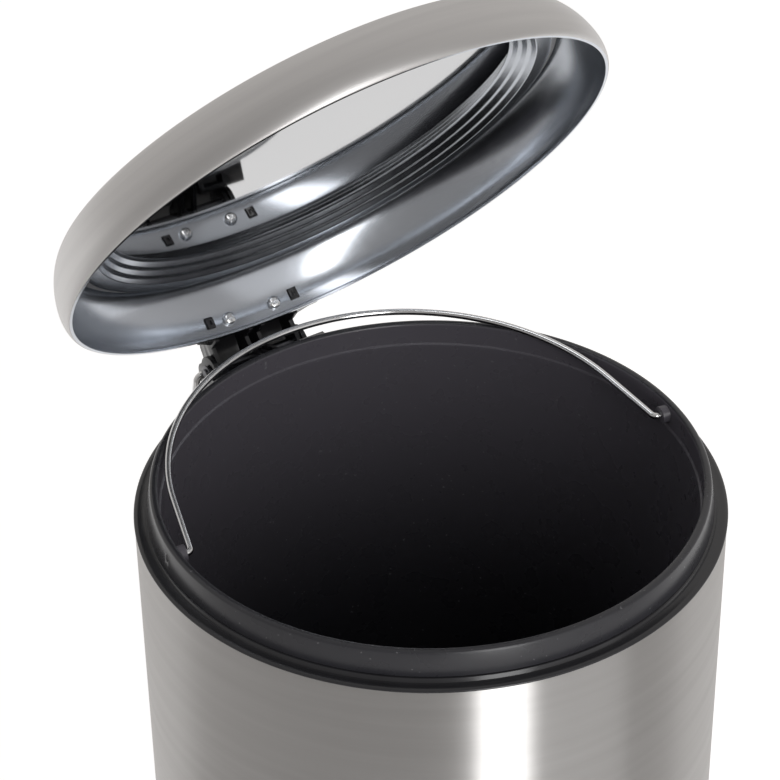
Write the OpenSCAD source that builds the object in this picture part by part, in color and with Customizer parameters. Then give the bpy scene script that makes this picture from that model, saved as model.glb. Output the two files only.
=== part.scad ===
// Round pedal trash can with a lift-out bucket: steel body, domed steel lid,
// black moulded collar, base and bucket, and a pedal that lifts the lid
// through a rod inside the back wall.
// Millimetres, +Z up. The origin is on the floor under the middle of the body,
// the lid's hinge is at the back (+Y) and the pedal at the front (-Y).
// The lid is drawn open, with the pedal pressed down.

/* [Body] */
// Height of the collar's flat top above the floor
can_h = 610; // [480:1:720]
// Outside radius of the steel body
body_r = 145.7; // [130:0.1:160]
// Thickness of the steel body
shell_t = 0.6; // [0.4:0.1:1]

/* [Collar] */
// How far the collar's round edge stands out past the steel
collar_over = 0.3; // [0.1:0.1:1]
// Height of the collar's edge that lies on the steel
collar_edge_h = 1.4; // [1:0.1:4]
// Width over which the collar's edge is rounded down
collar_round = 2.5; // [1:0.1:2.8]
// Width of the collar's flat ring
collar_flat_w = 5.4; // [4:0.1:7]
// Height of the seat ring above the flat ring
collar_seat_h = 2.2; // [1:0.1:2.4]
// Depth of the collar's inner walls
collar_depth = 14; // [10:1:20]
// Wall of the collar
collar_t = 1.5; // [1:0.1:1.7]
// Width of the hinge boss behind the collar
boss_w = 73; // [66:1:80]
// Thickness of the hinge boss
boss_t = 9; // [6:0.5:10]

/* [Bucket] */
// How far the bucket's rim stands above the collar's flat ring
rim_h = 15.2; // [13:0.1:17]
// Gap between the bucket's skirt and the collar's flat ring
skirt_gap = 1.3; // [0.8:0.1:2]
// How far the skirt flares out from the rim
skirt_flare = 1.8; // [0.5:0.1:3]
// Width of the rolled rim
rim_w = 4.2; // [3.8:0.1:4.6]
// Wall of the bucket
bucket_t = 1.6; // [1.2:0.1:1.8]
// How much narrower the bucket is at its foot
bucket_taper = 12; // [6:0.5:20]
// Depth of the plain band under the rim, down to the small inner step
band_h = 13; // [8:0.5:20]
// Gap between the bucket's floor and the base
bucket_floor_gap = 3; // [2:0.5:10]
// How far the bucket is turned in the can
bucket_turn = -8.5; // [-45:0.5:45]

/* [Bail handle] */
// Thickness of the bail's wire
bail_d = 3.5; // [3:0.1:4]
// Height of the bail's pivots under the top of the rim
pivot_drop = 6.5; // [5:0.1:7]
// Gap between the bail's legs and the bucket's inner wall
bail_leg_gap = 5.15; // [4:0.05:7]
// How much the bail's arc is drawn in from its legs
bail_waist = 4.6; // [2:0.1:8]
// How far the bail reaches past the rim
bail_over = 2.3; // [1.5:0.1:2.6]
// Radius of the pivot lugs inside the bucket
lug_r = 4.6; // [3.5:0.1:5]
// Running clearance round pins and wire ends
pin_gap = 0.05; // [0.02:0.01:0.09]

/* [Lid] */
// How far the lid stands open
lid_open = 53.2; // [30:0.1:60]
// Thickness of the lid's sheet
lid_t = 0.6; // [0.5:0.1:0.8]
// Outside radius of the lid's lip, less than the body's
lip_in = 0.7; // [0.2:0.1:1.5]
// Gap between the closed lid's lip and the collar
lip_gap = 1.5; // [1:0.1:3]
// How far the lid's belly swells past the lip
belly = 1.96; // [1:0.02:3]
// Height of the belly above the collar
belly_h = 8.6; // [6:0.1:10]
// Height of the shoulder above the collar
shoulder_h = 32.2; // [30:0.1:40]
// Width of the rounded shoulder
shoulder_w = 11.9; // [9:0.1:15]
// How full the shoulder is: 1 is an ellipse, more is flatter
shoulder_flat = 1.233; // [1:0.001:1.4]
// Width of the slope from the shoulder down to the groove
slope_w = 9.5; // [6:0.1:14]
// Depth of the pressed groove under the shoulder
groove_h = 3.9; // [2:0.1:5]
// Width of the groove's flat floor
groove_w = 6; // [3:0.1:10]
// Height of the middle panel above the groove
panel_h = 8.9; // [4:0.1:10]
// Width of each of the steps up to the middle panel
step_w = 3.5; // [2:0.1:6]
// Number of steps up to the middle panel
steps = 3; // [1:1:5]

/* [Hinge] */
// Distance of the lid's hinge pin behind the body
hinge_out = 20.7; // [19:0.1:24]
// Distance of the hinge pin under the collar's flat top
hinge_drop = 7.6; // [7:0.1:9]
// Thickness of the hinge pin
hinge_pin_d = 5; // [4:0.1:6]
// Width of the lid bracket at the hinge pin
bracket_pin_w = 51; // [48:1:53]
// Width of the lid bracket at the lid
bracket_lid_w = 74; // [66:1:80]
// Wall of the hinge brackets
bracket_t = 2.5; // [2:0.1:3]
// Gap between parts that swing past each other
swing_gap = 0.5; // [0.3:0.1:0.8]
// Distance of the lid screws from the middle
screw_off = 14; // [13:0.5:17]
// Distance of the lid's snap tabs from the middle
tab_off = 26; // [25:0.5:29]
// Thickness of the screws' shanks
screw_d = 4; // [3:0.1:4.5]
// Thickness of the carry handle's wire
handle_d = 4; // [3:0.1:4.5]
// Width of the carry handle's grip
handle_w = 76; // [70:1:110]
// Length of the carry handle
handle_l = 62; // [45:1:80]

/* [Pedal and rod] */
// Thickness of the push rod
rod_d = 4; // [3:0.1:4.2]
// Thickness of the pins through the rod's eyes
rod_pin_d = 3; // [2.5:0.1:3.2]
// Distance of the pedal's axle behind the middle of the can (negative is in front)
axle_y = -30; // [-60:1:0]
// Height of the pedal's axle above the floor
axle_z = 21; // [19:0.5:22]
// Thickness of the pedal's axle
axle_d = 6; // [5:0.1:7]
// Width of the steel pedal lever
lever_w = 22; // [16:1:24]
// Thickness of the steel pedal lever
lever_t = 3; // [2:0.1:3.5]
// Width of the pedal pad
pedal_w = 72; // [60:1:84]
// Depth of the pedal pad
pedal_l = 33; // [26:1:40]
// Thickness of the pedal pad
pedal_t = 9; // [8:0.5:10]

/* [Base] */
// Height of the base ring that shows under the steel
base_h = 38; // [38:1:50]
// Depth that the steel body stands inside the base ring
shell_seat = 6.5; // [4:0.5:7]
// Thickness of the base ring's outer wall
base_wall = 2.6; // [2:0.1:4]
// How far the base's floor web stands above the edge of the base ring
web_over = 4; // [3:0.5:10]
// Thickness of the base's floor web
web_t = 2.5; // [2:0.1:4]
// Height of the base ring above the ground, on its feet
foot_h = 3; // [2:0.5:5]
// Radius of the rubber feet
foot_r = 6.5; // [5:0.1:8]

/* [Hidden] */
$fn = 96;
eps = 0.01;
weld = 0.02;
cut = 2;
seat_gap = 0.2;
through = 2 * body_r;
web_z = base_h + web_over;

shell_in_r = body_r - shell_t;
collar_r = body_r + collar_over;
flat_in_r = collar_r - collar_flat_w;
seat_r = flat_in_r - 0.7;
rib_r = seat_r - 3;
rib_h = 6;

skirt_r = flat_in_r - skirt_gap;
rim_r = skirt_r - skirt_flare;
rim_in_r = rim_r - rim_w;
rim_z = can_h + rim_h;
skirt_z = can_h + collar_seat_h + 0.3;
bucket_z = web_z + web_t + bucket_floor_gap;

pivot_z = rim_z - pivot_drop;
bail_half = rim_in_r - bail_leg_gap - bail_d / 2;
bail_arc_r = bail_half - bail_waist;
bail_arc_y = rim_r + bail_over - bail_arc_r;
bail_rest_gap = 0.8;
lug_depth = bail_leg_gap - 1.1;
lip_mid_r = rim_r - rim_w / 2;
cross_sin = (pow(lip_mid_r, 2) - pow(bail_arc_r, 2) - pow(bail_arc_y, 2)) / (2 * bail_arc_y * bail_arc_r);
cross_y = bail_arc_y + bail_arc_r * cross_sin;
bail_tilt = atan((pivot_drop + bail_d / 2 + bail_rest_gap) / cross_y);

lid_lip_r = body_r - lip_in;
lid_r = lid_lip_r + belly;
shoulder_r = lid_r - shoulder_w;
groove_r = shoulder_r - slope_w;
wall_lean = 4.9;
head_seat = lid_t + 0.48;
lid_screw_l = 8;
head_r = 3.6;
hem_w = 1.4;
hem_h = 1.2;
screw_z = 10.4;
tab_z = 11.2;
tab_w = 5.4;
tab_h = 6.4;
tab_gap = 0.4;
bracket_lo = 2.5;
bracket_hi = 19;
bracket_skin = 3.2;
bracket_in = 12;

hinge_y = body_r + hinge_out;
hinge_z = can_h - hinge_drop;
rod_r = rod_d / 2;
rod_y = shell_in_r - rod_r - 0.6;
eye_shift = 1.2;
eye_y = rod_y + eye_shift;
eye_wall = 1.7;
eye_r = rod_pin_d / 2 + eye_wall;
eye_w = rod_d - 0.6;
arm = hinge_y - eye_y;
arm_rate = 1.06 * arm;
rad = PI / 180;
half_open = lid_open / 2;
rod_rise = arm_rate * half_open * rad;
slot_slack = 0.5;
arm_far = arm / cos(half_open);
arm_back = hinge_y - lid_r - 1.5;
ear_gap = 0.6;
ear_t = 2.2;
ear_x = rod_r + ear_gap;
ear_out = ear_x + ear_t;
ear_cut = ear_out + cut;
window_w = 2 * (ear_out + 4.2);
knuckle_r = hinge_pin_d / 2 + 5;
base_knuckle_r = knuckle_r + 1;
bracket_half = bracket_pin_w / 2;
cheek_x = bracket_half + swing_gap;
handle_r = handle_d / 2;
handle_ear_r = handle_r + 4;
handle_foot = 19;
handle_y = hinge_y + 6.1;
handle_z = hinge_z - 4.4;
boss_y = hinge_y - knuckle_r - 2.9;
window_z = hinge_z - 27;
base_low_z = hinge_z - 37;
base_plate_t = 5.5;
base_floor_t = 2;
base_screw_x = 19;
base_screw_z = window_z - 2;
base_screw_l = 5.5;
snug = 0.02;
screw_room = 0.1;
pin_over = 3.2;
clip_in = 1.7;
clip_t = 0.8;
clip_depth = 0.5;
hinge_pin_half = cheek_x + bracket_t + pin_over;

foot_eye_y = rod_y - 2;
lever_arm = foot_eye_y - axle_y;
lever_tilt = atan(rod_rise / lever_arm);
rod_top_z = hinge_z + rod_rise;
rod_foot_z = axle_z + rod_rise;
lever_ear_r = eye_r + 0.6;
sleeve_r = axle_d / 2 + 2.5;
base_r = body_r + seat_gap + base_wall;
pedal_back = base_r + 2.5;
pedal_front = pedal_back + pedal_l;
pedal_low = axle_z - lever_t / 2 - 2.5;
lever_tip_y = -pedal_front + 8;
recess_in = 3.4;
recess_h = 1.2;
tread_t = 1.6;
ridge_h = 1;
rivet_r = 2;
rivet_x = 6;
rivet_y = -pedal_back - pedal_l / 2;
axle_cheek_x = lever_w / 2 + 1;
axle_cheek_t = 2;
axle_half = axle_cheek_x + axle_cheek_t + pin_over;
axle_screw_x = axle_cheek_x + axle_cheek_t + 7.5;
axle_screw_y = 7;
guide_screw_x = 13;
guide_screw_r = 1.6;
guide_t = 2.5;
guide_y = rod_y - 9;
foot_ring_r = body_r - 12;
foot_peg_l = 8;
draft = 0.6;
rod_slot_half = ear_out + 3;

// An outline that eases smoothly from point a to point b
function ease(a, b, n) = [
    for (i = [1:n]) [a[0] + (b[0] - a[0]) * i / n, a[1] + (b[1] - a[1]) * (1 - cos(180 * i / n)) / 2]
];

// The lid's side, from the lip round the belly to the top of the shoulder
function lid_side(t) = concat(
    [for (a = [0:15:90]) [
        lid_lip_r - t + belly * sin(a),
        can_h + belly_h - (belly_h - lip_gap) * cos(a)]],
    [for (a = [6:6:90]) [
        shoulder_r + (shoulder_w - t) * pow(cos(a), shoulder_flat),
        can_h + belly_h + (shoulder_h - t - belly_h) * pow(sin(a), shoulder_flat)]]
);

// The lid's pressed top, from the shoulder in to the middle panel
function lid_top(t) = let(
    shoulder = [shoulder_r, can_h + shoulder_h - t],
    groove = [groove_r, can_h + shoulder_h - groove_h - t],
    inner = [groove_r - groove_w, groove[1]],
    rise = panel_h / steps)
    concat(
        ease(shoulder, groove, 6),
        [inner],
        [for (s = [0:steps - 1]) each concat(
            [[inner[0] - s * step_w - step_w / 2, inner[1] + (s + 1) * rise - rise * 0.1]],
            [[inner[0] - (s + 1) * step_w, inner[1] + (s + 1) * rise]])],
        [[0, inner[1] + panel_h]]
    );

function lid_outline(t) = concat(lid_side(t), lid_top(t));

// Points in reverse order
function back(points) = [for (i = [len(points) - 1:-1:0]) points[i]];

// Turns a flat outline (y, z) into a plate that runs along X
module plate_x(x, t) {
    translate([x, 0, 0]) rotate([90, 0, 90]) linear_extrude(t) children();
}

// The same plate on the left and on the right
module both_x(x, t) {
    plate_x(x, t) children();
    plate_x(-x - t, t) children();
}

// A rod that runs along X
module rod_x(r, x0, x1) {
    translate([x0, 0, 0]) rotate([0, 90, 0]) cylinder(r = r, h = x1 - x0);
}

// Carries the children to the open lid's place
module on_lid() {
    translate([0, hinge_y, hinge_z]) rotate([-lid_open, 0, 0]) translate([0, -hinge_y, -hinge_z]) children();
}

// Carries the children to the pressed lever's place
module on_lever() {
    translate([0, axle_y, axle_z]) rotate([lever_tilt, 0, 0]) translate([0, -axle_y, -axle_z]) children();
}

// Carries the children to one of the lid's fixings, on the wall at a distance from the middle
module on_lid_wall(off, z) {
    rotate([0, 0, -asin(off / lid_r)]) translate([0, lid_r, can_h + z]) rotate([wall_lean, 0, 0]) children();
}

// A round-ended slot for a pin, cut along Y
module slot_x(r, reach0, reach1, x0, x1) {
    translate([0, reach0, 0]) rod_x(r, x0, x1);
    translate([0, reach1, 0]) rod_x(r, x0, x1);
    translate([x0, reach0, -r]) cube([x1 - x0, reach1 - reach0, 2 * r]);
}

// A pan-head screw with a cross recess: its head points along +Z from z = 0
module pan_screw(length, head_r) {
    difference() {
        union() {
            translate([0, 0, -length]) cylinder(r = screw_d / 2, h = length + eps);
            rotate_extrude() polygon([[0, 0], [head_r, 0], [head_r, head_r * 0.22],
                [head_r * 0.85, head_r * 0.45], [head_r * 0.5, head_r * 0.62], [0, head_r * 0.66]]);
        }
        for (a = [0, 90]) rotate([0, 0, a])
            translate([-head_r * 0.58, -head_r * 0.14, head_r * 0.25])
                cube([head_r * 1.16, head_r * 0.28, head_r]);
    }
}

module body_shell() {
    top = can_h - collar_edge_h - seat_gap;
    bottom = base_h - shell_seat;
    color("lightgray") difference() {
        translate([0, 0, bottom]) difference() {
            cylinder(r = body_r, h = top - bottom);
            translate([0, 0, -cut]) cylinder(r = shell_in_r, h = top - bottom + 2 * cut);
        }
        translate([-window_w / 2, body_r - 15, window_z]) cube([window_w, 30, can_h - window_z]);
        for (x = [-1, 1]) translate([x * base_screw_x, body_r, base_screw_z])
            rotate([90, 0, 0]) cylinder(r = screw_d / 2 + screw_room, h = 30, center = true);
    }
}

module top_collar() {
    plug_r = shell_in_r - seat_gap;
    color([0.16, 0.16, 0.17]) difference() {
        union() {
            rotate_extrude() translate([0, can_h]) polygon(concat(
                [for (a = [0:15:90]) [
                    collar_r - collar_round * (1 - cos(a)), -(collar_edge_h - 0.3) * (1 - sin(a))]],
                [
                    [flat_in_r, 0], [seat_r + 0.3, collar_seat_h], [rib_r, collar_seat_h], [rib_r, rib_h],
                    [rib_r - 1.2, rib_h], [rib_r - 1.2, -collar_depth], [rib_r + 0.4, -collar_depth],
                    [rib_r + 0.4, -collar_t * 2], [plug_r - collar_t, -collar_t * 2],
                    [plug_r - collar_t, -collar_depth], [plug_r, -collar_depth],
                    [plug_r, -collar_edge_h], [collar_r, -collar_edge_h]
                ]));
            difference() {
                translate([-boss_w / 2, 0, can_h - boss_t]) cube([boss_w, boss_y, boss_t]);
                translate([0, 0, can_h - boss_t - cut]) cylinder(r = collar_r - 1.5, h = boss_t + 2 * cut);
                translate([0, 0, can_h - boss_t - cut])
                    cylinder(r = body_r + seat_gap, h = boss_t + cut - collar_edge_h);
            }
        }
        translate([-window_w / 2, rib_r - 15, can_h - collar_depth - cut])
            cube([window_w, 60, collar_depth + rib_h + 2 * cut]);
        for (x = [-1, 1]) translate([x * (window_w / 2 + 9) - 6, body_r + 2.5, can_h - boss_t + 1.5])
            cube([12, boss_y - body_r - 5, boss_t]);
    }
}

module base_ring() {
    in_r = shell_in_r - seat_gap;
    up_r = in_r - 2.4;
    seat_z = base_h - shell_seat - seat_gap;
    out_r = base_r;
    slot_lo = foot_h + 5;
    color([0.12, 0.12, 0.13]) difference() {
        union() {
            rotate_extrude() polygon([
                [0, web_z], [up_r, web_z], [up_r, seat_z - 4], [shell_in_r, seat_z - 6],
                [shell_in_r + draft, foot_h],
                [out_r - 0.8, foot_h], [out_r, foot_h + 2], [out_r - 0.6, base_h - 0.8], [out_r - 1.2, base_h],
                [body_r + seat_gap, base_h], [body_r + seat_gap, seat_z], [in_r, seat_z],
                [in_r, web_z + web_t + 4], [up_r, web_z + web_t + 4], [up_r, web_z + web_t], [0, web_z + web_t]
            ]);
            for (a = [0:30:330]) if (abs(sin(a)) < 0.6)
                rotate([0, 0, a]) translate([50, -1, web_z - 10]) cube([up_r - 49, 2, 10 + eps]);
            for (a = [45:90:315]) rotate([0, 0, a]) {
                translate([foot_ring_r, 0, foot_h]) cylinder(r = foot_r + 1.5, h = 12);
                translate([foot_ring_r, -2, foot_h + 1]) cube([shell_in_r - foot_ring_r + 2 * draft, 4, 11]);
            }
        }
        for (a = [45:90:315]) rotate([0, 0, a]) translate([foot_ring_r, 0, foot_h - cut])
            cylinder(r = foot_r / 2 + pin_gap, h = foot_peg_l + 1 + cut);
        translate([-lever_w / 2 - 4, -out_r - cut, slot_lo])
            cube([lever_w + 8, 30, web_z - 8 - slot_lo]);
        intersection() {
            translate([-rod_slot_half, foot_eye_y - 8, foot_h + 15]) cube([2 * rod_slot_half, 30, 60]);
            cylinder(r = in_r + 0.1, h = web_z + 30);
        }
        at_axle_screws(web_z - cut) cylinder(r = screw_d / 2 + screw_room, h = web_t + 2 * cut);
        for (x = [-1, 1]) translate([x * guide_screw_x, guide_y, web_z - cut])
            cylinder(r = guide_screw_r, h = web_t + 2 * cut);
    }
}

module rubber_feet() {
    color([0.08, 0.08, 0.08]) for (a = [45:90:315]) rotate([0, 0, a]) translate([foot_ring_r, 0, 0]) {
        rotate_extrude() polygon([
            [0, 0], [foot_r - 0.6, 0], [foot_r, 0.6], [foot_r, foot_h - 0.1], [foot_r / 2, foot_h - 0.1],
            [foot_r / 2, foot_h + foot_peg_l - 1], [foot_r / 2 - 0.8, foot_h + foot_peg_l],
            [0, foot_h + foot_peg_l]
        ]);
    }
}

module inner_bucket() {
    wall_r = rim_in_r + bucket_t;
    foot_in_r = rim_in_r - bucket_taper;
    step_z = rim_z - band_h;
    color([0.14, 0.14, 0.15]) rotate([0, 0, bucket_turn]) difference() {
        union() {
            rotate_extrude() polygon(concat(
                [[rim_in_r, rim_z - 1.6]],
                [for (a = [150:-30:30]) [lip_mid_r + (rim_w / 2) * cos(a), rim_z - 1.6 + 1.6 * sin(a)]],
                [
                    [rim_r, rim_z - 1.6], [skirt_r, skirt_z], [skirt_r - 1.4, skirt_z],
                    [rim_r - 1.4, rim_z - 2.6], [wall_r, rim_z - 2.6], [wall_r, step_z - 2],
                    [foot_in_r + bucket_t, bucket_z + 8], [foot_in_r + bucket_t - 2, bucket_z + 2.5],
                    [foot_in_r + bucket_t - 8, bucket_z], [0, bucket_z],
                    [0, bucket_z + bucket_t], [foot_in_r - 7.5, bucket_z + bucket_t],
                    [foot_in_r - 2.2, bucket_z + 4], [foot_in_r, bucket_z + 8.5],
                    [rim_in_r - 1, step_z - 2], [rim_in_r - 1, step_z], [rim_in_r, step_z + 0.6]
                ]));
            translate([0, 0, pivot_z]) for (s = [0, 1]) mirror([s, 0, 0])
                rod_x(lug_r, rim_in_r - lug_depth, rim_in_r + 0.5);
        }
        translate([0, 0, pivot_z]) for (s = [0, 1]) mirror([s, 0, 0])
            rod_x(bail_d / 2 + pin_gap, rim_in_r - 12, skirt_r + 5);
    }
}

module bail_handle() {
    r = bail_d / 2;
    gap_r = norm([bail_half, bail_arc_y]);
    start = atan2(-bail_arc_y, bail_half) + acos(bail_arc_r / gap_r);
    leg_end = [bail_arc_r * cos(start), bail_arc_y + bail_arc_r * sin(start)];
    lean = atan2(bail_half - leg_end[0], leg_end[1]);
    leg = norm([bail_half - leg_end[0], leg_end[1]]);
    turn = 90 - lean;
    bend = 2.5;
    corner = bend * tan(turn / 2);
    color("silver") rotate([0, 0, bucket_turn]) translate([0, 0, pivot_z]) rotate([bail_tilt, 0, 0]) {
        translate([0, bail_arc_y, 0]) rotate([0, 0, start])
            rotate_extrude(angle = 180 - 2 * start) translate([bail_arc_r, 0]) circle(r = r);
        for (s = [0, 1]) mirror([s, 0, 0]) {
            translate([bail_half, 0, 0]) rotate([0, 0, lean]) translate([0, corner, 0])
                rotate([-90, 0, 0]) cylinder(r = r, h = leg - corner);
            translate([bail_half + corner, bend, 0]) rotate([0, 0, 270 - turn])
                rotate_extrude(angle = turn) translate([bend, 0]) circle(r = r);
            rod_x(r, bail_half + corner, skirt_r - 1);
            for (p = [leg_end, [bail_half - corner * sin(lean), corner * cos(lean)], [bail_half + corner, 0]])
                translate(p) sphere(r = r + weld);
        }
    }
}

module lid_shell() {
    hem = [[lid_lip_r - hem_w, can_h + lip_gap], [lid_lip_r - hem_w, can_h + lip_gap + hem_h],
        [lid_lip_r - lid_t + 0.1, can_h + lip_gap + hem_h]];
    inner = lid_outline(lid_t);
    color("silver") on_lid() difference() {
        rotate_extrude() polygon(concat(
            lid_outline(0), back([for (p = inner) if (p[1] > can_h + lip_gap + hem_h + 0.1) p]), back(hem)));
        for (s = [-1, 1]) {
            on_lid_wall(s * screw_off, screw_z) rotate([90, 0, 0])
                cylinder(r = screw_d / 2 + 0.1, h = 8, center = true);
            on_lid_wall(s * tab_off, tab_z) cube([tab_w, 8, tab_h], center = true);
        }
    }
}

// The lid bracket's side, as (y, z) from the hinge pin with the lid closed
module bracket_side() {
    polygon([
        [-arm_back, 27], [-7, 25], [3, 16], [6.4, 7], [knuckle_r, 0], [0, 0], [-knuckle_r, 0],
        [-knuckle_r - 1.4, hinge_drop + 1.6], [-arm_back, hinge_drop + 1.6]
    ]);
    circle(r = knuckle_r);
}

// The fork arm that the push rod lifts, as (y, z) from the hinge pin with the lid closed
module fork_arm() {
    rotate(half_open) {
        polygon([[0, knuckle_r - 1], [-arm_far, eye_r], [-arm_far, -eye_r - 0.2], [0, -knuckle_r + 2]]);
        translate([-arm_far + 0.5, -0.1]) circle(r = eye_r + 0.4);
    }
    circle(r = knuckle_r - 1);
}

module lid_bracket() {
    side_lo = can_h + bracket_lo - 0.1;
    side_hi = can_h + bracket_hi + 1;
    lip_side = [for (p = lid_side(0)) if (p[1] > side_lo && p[1] < side_hi) [p[0] + 0.1, p[1]]];
    slot_r = rod_pin_d / 2 + slot_slack;
    color([0.1, 0.1, 0.11]) on_lid() difference() {
        union() {
            intersection() {
                rotate_extrude() polygon(concat(lip_side,
                    [[lid_r + bracket_skin, can_h + bracket_hi], [lid_r + bracket_skin, can_h + bracket_lo]]));
                translate([-bracket_lid_w / 2, 0, can_h]) cube([bracket_lid_w, through, through]);
            }
            translate([0, hinge_y, hinge_z]) {
                both_x(bracket_half - bracket_t, bracket_t) bracket_side();
                both_x(ear_x, ear_t) {
                    bracket_side();
                    fork_arm();
                }
                plate_x(-bracket_half, bracket_pin_w) polygon([
                    [-arm_back, 27], [-7, 25], [3, 16], [6.4, 7], [knuckle_r, 0],
                    [knuckle_r - 2, 0], [4.6, 6.4], [1.4, 14.8], [-7.8, 23], [-arm_back, 25]
                ]);
            }
            for (s = [-1, 1]) {
                translate([0, 0, can_h + 3]) linear_extrude(2) polygon(gusset(s));
                translate([0, 0, can_h + 15.5]) linear_extrude(2) polygon(gusset(s));
                translate([0, 0, can_h + 3]) linear_extrude(14.5) polygon(gusset_side(s));
                on_lid_wall(s * screw_off, screw_z) rotate([-90, 0, 0]) cylinder(r = 4.2, h = 9);
                on_lid_wall(s * tab_off, tab_z) translate([0, 0.5, 0]) tab_block(5);
            }
        }
        translate([0, 0, can_h]) intersection() {
            translate([0, 0, -cut]) cylinder(r = lid_r + 0.1, h = 60);
            difference() {
                translate([-body_r, 0, -1]) cube([2 * body_r, through, shoulder_h + 8]);
                for (s = [-1, 1]) translate([0, 0, -can_h]) on_lid_wall(s * tab_off, tab_z) tab_block(8);
                translate([-bracket_half - eps, hinge_y - knuckle_r - 2, -20]) cube([bracket_pin_w, 40, 60]);
            }
        }
        translate([0, hinge_y, hinge_z]) {
            rod_x(hinge_pin_d / 2 + pin_gap, -through, through);
            rotate([half_open, 0, 0]) slot_x(slot_r, -arm_far + 0.2, -arm - 0.2, -ear_cut, ear_cut);
        }
        for (s = [-1, 1]) {
            on_lid_wall(s * screw_off, screw_z) translate([0, -cut, 0]) rotate([-90, 0, 0])
                cylinder(r = screw_d / 2 + pin_gap, h = lid_screw_l + cut);
            on_lid_wall(s * tab_off, tab_z) translate([0, -2, 0]) cube([1.6, 2, 2.4], center = true);
        }
    }
}

// A snap tab that passes through a slot in the lid's wall
module tab_block(depth) {
    cube([tab_w - 2 * tab_gap, depth, tab_h - 2 * tab_gap], center = true);
}

// Half of a flat web that widens from the hinge pin to the lid
function gusset(s) = [
    [s * (bracket_half - bracket_t), lid_r - bracket_in], [s * bracket_lid_w / 2, lid_r - bracket_in],
    [s * bracket_lid_w / 2, lid_r - 2], [s * bracket_half, hinge_y - knuckle_r - 3.2],
    [s * (bracket_half - bracket_t), hinge_y - knuckle_r - 3.2]
];

// The closed side of that web, from the lid to the hinge
function gusset_side(s) = [
    [s * bracket_lid_w / 2, lid_r - bracket_in], [s * bracket_lid_w / 2, lid_r - 2],
    [s * bracket_half, hinge_y - knuckle_r - 3.2], [s * (bracket_half - bracket_t), hinge_y - knuckle_r - 3.2],
    [s * (bracket_lid_w / 2 - bracket_t), lid_r - 3], [s * (bracket_lid_w / 2 - bracket_t), lid_r - bracket_in]
];

module lid_screws() {
    color("gainsboro") on_lid() for (s = [-1, 1])
        on_lid_wall(s * screw_off, screw_z) translate([0, -head_seat, 0])
            rotate([90, 0, 0]) pan_screw(lid_screw_l, head_r);
}

module hinge_base() {
    top = can_h - boss_t - 0.3;
    color([0.1, 0.1, 0.11]) difference() {
        union() {
            translate([-cheek_x - bracket_t, 0, base_low_z])
                cube([2 * (cheek_x + bracket_t), body_r + base_plate_t, top - base_low_z]);
            translate([0, hinge_y, hinge_z]) both_x(cheek_x, bracket_t) {
                polygon([
                    [-hinge_out - 3, base_low_z - hinge_z], [-hinge_out + base_plate_t, base_low_z - hinge_z],
                    [handle_y - hinge_y + handle_r, -handle_foot],
                    [handle_y - hinge_y + handle_ear_r, 1 - handle_ear_r],
                    [base_knuckle_r, 0], [-base_knuckle_r, 0],
                    [-base_knuckle_r, top - hinge_z], [-hinge_out - 3, top - hinge_z]
                ]);
                circle(r = base_knuckle_r);
                translate([handle_y - hinge_y, handle_z - hinge_z]) circle(r = handle_ear_r);
            }
            translate([-cheek_x, body_r, hinge_z - handle_foot])
                cube([2 * cheek_x, handle_y + handle_r - body_r, base_floor_t]);
        }
        translate([0, 0, base_low_z - cut]) cylinder(r = body_r + 0.1, h = through);
        translate([-window_w / 2, body_r - 20, window_z])
            cube([window_w, 20 + base_plate_t + cut, 60]);
        translate([0, hinge_y, hinge_z]) rod_x(hinge_pin_d / 2 + snug, -through, through);
        translate([0, handle_y, handle_z]) rod_x(handle_r + pin_gap, -through, through);
        for (x = [-1, 1]) translate([x * base_screw_x, 0, base_screw_z])
            rotate([-90, 0, 0]) cylinder(r = screw_d / 2 + snug, h = through);
    }
}

module hinge_screws() {
    edge_y = sqrt(pow(shell_in_r, 2) - pow(base_screw_x + head_r, 2));
    color("gainsboro") for (x = [-1, 1])
        translate([x * base_screw_x, edge_y - 0.1, base_screw_z]) rotate([90, 0, 0])
            pan_screw(shell_in_r - edge_y + base_screw_l, head_r);
}

// A pin along X with a groove for a clip near each end
module clip_pin(r, half) {
    difference() {
        rod_x(r, -half, half);
        for (s = [-1, 1]) translate([s * (half - clip_in), 0, 0]) difference() {
            rod_x(2 * r, -clip_t / 2 - 0.1, clip_t / 2 + 0.1);
            rod_x(r - clip_depth, -clip_t, clip_t);
        }
    }
}

// The pair of open spring clips that sit in a pin's grooves
module clip_pair(r, half) {
    mouth = 2 * (r - 0.9);
    for (s = [-1, 1]) translate([s * (half - clip_in), 0, 0]) difference() {
        rod_x(r + 1.7, -clip_t / 2, clip_t / 2);
        rod_x(r - clip_depth + snug, -clip_t, clip_t);
        translate([-clip_t, -mouth / 2, -4 * r]) cube([2 * clip_t, mouth, 4 * r]);
    }
}

module hinge_pin() {
    color("silver") translate([0, hinge_y, hinge_z]) clip_pin(hinge_pin_d / 2, hinge_pin_half);
}

module pin_clips() {
    color("dimgray") translate([0, hinge_y, hinge_z]) clip_pair(hinge_pin_d / 2, hinge_pin_half);
}

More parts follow.
